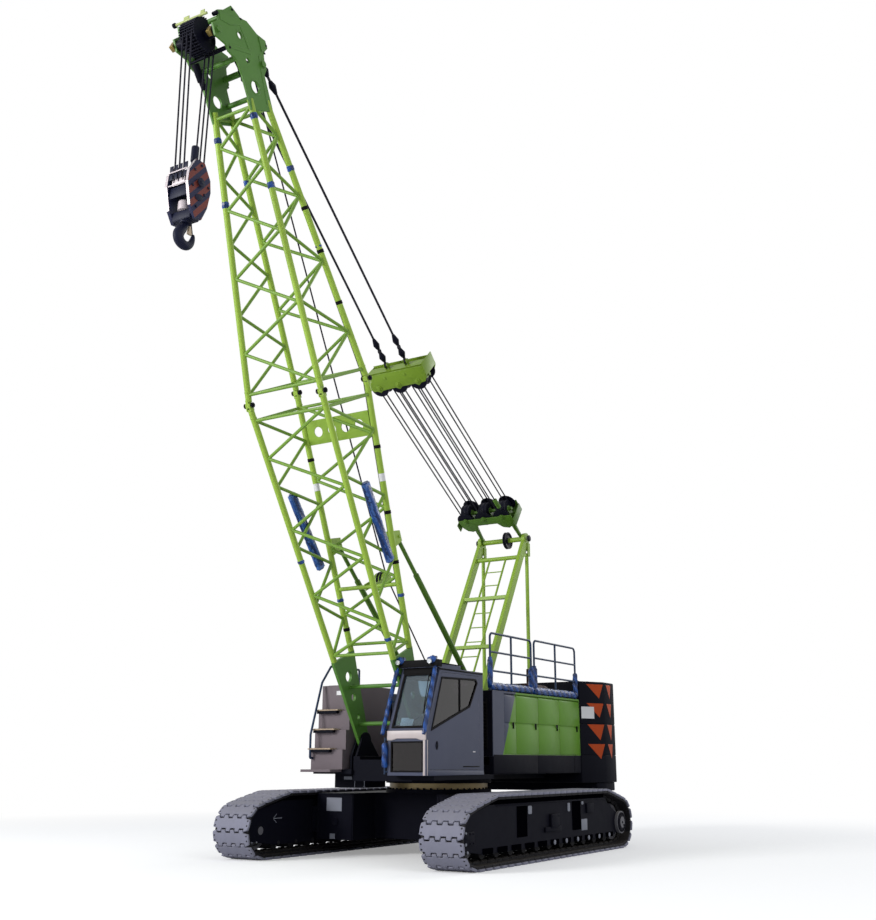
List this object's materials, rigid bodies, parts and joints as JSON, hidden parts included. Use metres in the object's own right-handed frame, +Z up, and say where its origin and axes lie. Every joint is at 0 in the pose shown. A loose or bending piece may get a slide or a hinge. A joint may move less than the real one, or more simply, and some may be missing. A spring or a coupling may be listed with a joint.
{
  "type": "crawler crane",
  "caption": "Lattice-boom crawler crane: shoed tracks, slewing house with glazed cab, gantry and winches, luffing two-section boom with head plates, rigging and hanging hook block.",
  "frame": {"origin": "on the ground, under the centre of the slewing ring", "axes": "+Z up; the boom and cab face -Y; +X is the machine's left side, where the cab is"},
  "size_m": [5.08, 12.5952, 13.7176],
  "materials": {
    "green_paint": "semi-gloss lime green paint",
    "dark_green_paint": "semi-gloss dark green paint",
    "grey_paint": "satin mid grey paint",
    "dark_paint": "near-black navy paint, dusty",
    "blue_paint": "blue paint and film",
    "shoe_steel": "cast steel, dulled grey",
    "bare_steel": "worn steel",
    "rope_steel": "greased wire rope",
    "glass": "clear tinted glass",
    "trim": "matt black plastic and seat cloth"
  },
  "bodies": {
    "undercarriage": {"carbody": "dark_paint", "slewing_ring": "bare_steel", "crawler_frame_left": "dark_paint", "crawler_frame_right": "dark_paint", "track_left": "shoe_steel", "track_right": "shoe_steel", "front_idlers": "shoe_steel", "drive_sprockets": "shoe_steel", "bottom_rollers": "shoe_steel"},
    "upper": {"upper_frame": "grey_paint", "counterweight": "green_paint", "engine_housing": "green_paint", "pump_housing": "green_paint", "engine_block": "bare_steel", "silencer": "bare_steel", "step_tank": "grey_paint", "cab_shell": "green_paint", "cab_glazing": "glass", "operator_seat": "trim", "cab_console": "trim", "handrails": "blue_paint", "winch_frames": "grey_paint", "gantry_front": "green_paint", "gantry_rear": "green_paint"},
    "cab_door_body": {"cab_door": "green_paint", "cab_door_glass": "glass"},
    "side_door_body_1": {"side_door_1": "green_paint"},
    "side_door_body_2": {"side_door_2": "green_paint"},
    "side_door_body_3": {"side_door_3": "green_paint"},
    "side_door_body_4": {"side_door_4": "green_paint"},
    "pump_door_body_1": {"pump_door_1": "green_paint"},
    "pump_door_body_2": {"pump_door_2": "green_paint"},
    "main_drum_body": {"main_drum": "grey_paint"},
    "luff_drum_body": {"luff_drum": "grey_paint"},
    "boom": {"boom_base_chords": "green_paint", "boom_base_bracing": "green_paint", "boom_foot_plates": "green_paint", "boom_head_chords": "green_paint", "boom_head_bracing": "green_paint", "section_pins": "bare_steel", "boom_head_plates": "dark_green_paint", "head_sheaves": "shoe_steel", "boom_brackets": "green_paint", "wrapped_struts": "blue_paint", "hoist_rope": "rope_steel"},
    "hook_hang": {"hook_block": "dark_paint", "block_sheaves": "shoe_steel", "hook": "shoe_steel", "hook_falls": "rope_steel"},
    "pendant_body": {"pendants": "rope_steel", "upper_spreader": "green_paint", "upper_sheaves": "shoe_steel", "luffing_falls_upper": "rope_steel"},
    "bridle": {"lower_spreader": "green_paint", "lower_sheaves": "shoe_steel", "luffing_falls_lower": "rope_steel"},
    "stop_barrels": {"backstop_barrels": "green_paint"},
    "stop_rods": {"backstop_rods": "bare_steel"}
  },
  "joints": [
    {"name": "slew", "type": "hinge", "parent": "undercarriage", "child": "upper", "pos_m": [0, 0, 0], "axis": [0, 0, 1], "continuous": true},
    {"name": "luff", "type": "hinge", "parent": "upper", "child": "boom", "pos_m": [0, -1.64, 2.04], "axis": [-1, 0, 0], "range_deg": [-34.8, 15.2]},
    {"name": "pendant_swing", "type": "hinge", "parent": "boom", "child": "pendant_body", "pos_m": [0, -6.50717, 13.48712], "axis": [-1, 0, 0], "range_deg": [-2.08, 4.62]},
    {"name": "bridle_swing", "type": "hinge", "parent": "upper", "child": "bridle", "pos_m": [0, 2.82, 6.47], "axis": [-1, 0, 0], "range_deg": [-30.38, 13.32]},
    {"name": "hook_swing", "type": "hinge", "parent": "boom", "child": "hook_hang", "pos_m": [0, -7.61691, 13.09753], "axis": [-1, 0, 0], "range_deg": [-15.3, 34.9]},
    {"name": "stop_tilt", "type": "hinge", "parent": "upper", "child": "stop_barrels", "pos_m": [0, 1, 2.3], "axis": [-1, 0, 0], "range_deg": [-21.33, 9.37]},
    {"name": "stop_slide", "type": "slide", "parent": "stop_barrels", "child": "stop_rods", "axis": [0, -0.7345, 0.6786], "range_m": [-0.4689, 1.071]},
    {"name": "main_drum_turn", "type": "hinge", "parent": "upper", "child": "main_drum_body", "pos_m": [0, 0.47, 2.35], "axis": [1, 0, 0], "continuous": true},
    {"name": "luff_drum_turn", "type": "hinge", "parent": "upper", "child": "luff_drum_body", "pos_m": [0, 1.76, 2.25], "axis": [1, 0, 0], "continuous": true},
    {"name": "cab_door_swing", "type": "hinge", "parent": "upper", "child": "cab_door_body", "pos_m": [1.48, -1.074, 1.8], "axis": [0, 0, 1], "range_deg": [0, 85]},
    {"name": "side_door_swing_1", "type": "hinge", "parent": "upper", "child": "side_door_body_1", "pos_m": [1.48, -0.056, 2.3], "axis": [0, 0, -1], "range_deg": [0, 95]},
    {"name": "side_door_swing_2", "type": "hinge", "parent": "upper", "child": "side_door_body_2", "pos_m": [1.48, 0.434, 2.3], "axis": [0, 0, -1], "range_deg": [0, 95]},
    {"name": "side_door_swing_3", "type": "hinge", "parent": "upper", "child": "side_door_body_3", "pos_m": [1.48, 1.394, 2.3], "axis": [0, 0, -1], "range_deg": [0, 95]},
    {"name": "side_door_swing_4", "type": "hinge", "parent": "upper", "child": "side_door_body_4", "pos_m": [1.48, 2.374, 2.3], "axis": [0, 0, -1], "range_deg": [0, 95]},
    {"name": "pump_door_swing_1", "type": "hinge", "parent": "upper", "child": "pump_door_body_1", "pos_m": [-1.48, 0.634, 2.3], "axis": [0, 0, 1], "range_deg": [0, 95]},
    {"name": "pump_door_swing_2", "type": "hinge", "parent": "upper", "child": "pump_door_body_2", "pos_m": [-1.48, 1.994, 2.3], "axis": [0, 0, 1], "range_deg": [0, 95]}
  ],
  "couplings": [
    {"joint": "pendant_swing", "follows": "luff", "ratio": -0.13},
    {"joint": "bridle_swing", "follows": "luff", "ratio": 0.87},
    {"joint": "stop_tilt", "follows": "luff", "ratio": 0.61},
    {"joint": "hook_swing", "follows": "luff", "ratio": -1},
    {"joint": "stop_slide", "follows": "luff", "m_per_rad": -1.76}
  ]
}
